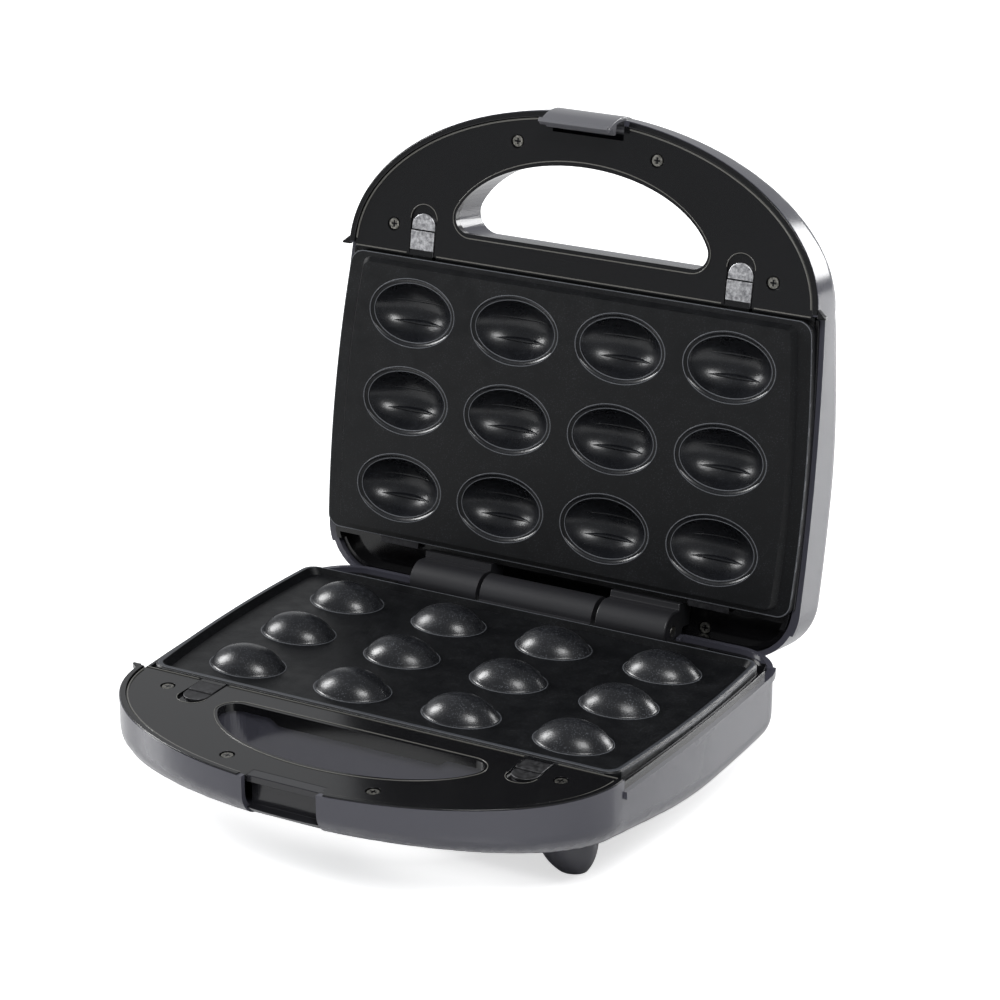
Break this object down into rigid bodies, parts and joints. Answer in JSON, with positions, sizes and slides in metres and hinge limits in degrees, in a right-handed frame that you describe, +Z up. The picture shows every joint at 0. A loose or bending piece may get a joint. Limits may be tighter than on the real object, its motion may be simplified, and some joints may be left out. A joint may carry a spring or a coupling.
{
  "type": "sandwich maker with nut moulds",
  "caption": "Hinged two-plate biscuit maker standing open, with domes below, matching cavities above, handle holes, clasp and plate release tabs.",
  "frame": {"origin": "on the surface it stands on, under the middle of its outer box", "axes": "+X to the user's right along the hinge, +Y to the back, +Z up"},
  "size_m": [0.2424, 0.277, 0.2676],
  "materials": {
    "grey_shell": "glossy moulded",
    "black_cover": "glossy moulded",
    "coated_plate": "non-stick coating with a fine fleck",
    "heater_sheath": "satin",
    "pressed_steel": "satin",
    "reflector_sheet": "bright",
    "plated_steel": "zinc plated",
    "spring_steel": "satin",
    "tab_steel": "mottled, as rolled",
    "black_moulding": "matte moulded",
    "pale_moulding": "matte moulded",
    "fuse_case": "satin",
    "wire_sleeve": "silicone sleeve",
    "soft_bush": "matte",
    "foot_moulding": "satin moulded",
    "clasp_plastic": "glossy moulded",
    "red_lens": "clear red",
    "green_lens": "clear green",
    "lamp_glass": "clear"
  },
  "bodies": {
    "base": {"base_shell": "grey_shell", "base_cover_frame": "black_cover", "lower_plate": "coated_plate", "lower_heater": "heater_sheath", "lower_heater_supports": "pressed_steel", "lower_reflector": "reflector_sheet", "lower_reflector_screws": "plated_steel", "lower_thermostat": "black_moulding", "thermal_fuse": "fuse_case", "terminal_block": "pale_moulding", "base_wiring": "wire_sleeve", "cord_inlet": "soft_bush", "base_cover_screws": "plated_steel", "clasp_keeper": "black_moulding", "base_hinge_knuckle": "black_moulding", "hinge_pin": "plated_steel", "lower_plate_hooks": "spring_steel", "foot_screws": "plated_steel", "lower_left_spring": "spring_steel", "lower_right_spring": "spring_steel", "front_left_foot": "foot_moulding", "front_right_foot": "foot_moulding", "rear_left_foot": "foot_moulding", "rear_right_foot": "foot_moulding"},
    "lid": {"lid_shell": "grey_shell", "lid_cover_frame": "black_cover", "upper_plate": "coated_plate", "upper_heater": "heater_sheath", "upper_heater_supports": "pressed_steel", "upper_reflector": "reflector_sheet", "upper_reflector_screws": "plated_steel", "upper_thermostat": "black_moulding", "lid_wiring": "wire_sleeve", "lid_cover_screws": "plated_steel", "lid_left_hinge_knuckle": "black_moulding", "lid_right_hinge_knuckle": "black_moulding", "upper_plate_hooks": "spring_steel", "upper_left_spring": "spring_steel", "upper_right_spring": "spring_steel", "clasp_pin": "plated_steel", "power_light_lens": "red_lens", "ready_light_lens": "green_lens", "pilot_lamps": "lamp_glass"},
    "clasp": {"clasp": "clasp_plastic"},
    "lower_left_release": {"lower_left_release": "tab_steel"},
    "lower_right_release": {"lower_right_release": "tab_steel"},
    "upper_left_release": {"upper_left_release": "tab_steel"},
    "upper_right_release": {"upper_right_release": "tab_steel"}
  },
  "joints": [
    {"name": "lid_hinge", "type": "hinge", "parent": "base", "child": "lid", "pos_m": [0, 0.0831, 0.0488], "axis": [1, 0, 0], "range_deg": [0, 99.1]},
    {"name": "clasp_swing", "type": "hinge", "parent": "lid", "child": "clasp", "pos_m": [0, 0.12836, 0.2599], "axis": [-1, 0, 0], "range_deg": [0, 60]},
    {"name": "lower_left_release_slide", "type": "slide", "parent": "base", "child": "lower_left_release", "axis": [0, -1, 0], "range_m": [0, 0.0035], "stiffness_N_per_m": 300, "springref_m": -0.002, "deforming": ["lower_left_spring"]},
    {"name": "lower_right_release_slide", "type": "slide", "parent": "base", "child": "lower_right_release", "axis": [0, -1, 0], "range_m": [0, 0.0035], "stiffness_N_per_m": 300, "springref_m": -0.002, "deforming": ["lower_right_spring"]},
    {"name": "upper_left_release_slide", "type": "slide", "parent": "lid", "child": "upper_left_release", "axis": [0, 0.1582, 0.9874], "range_m": [0, 0.0035], "stiffness_N_per_m": 300, "springref_m": -0.002, "deforming": ["upper_left_spring"]},
    {"name": "upper_right_release_slide", "type": "slide", "parent": "lid", "child": "upper_right_release", "axis": [0, 0.1582, 0.9874], "range_m": [0, 0.0035], "stiffness_N_per_m": 300, "springref_m": -0.002, "deforming": ["upper_right_spring"]}
  ]
}
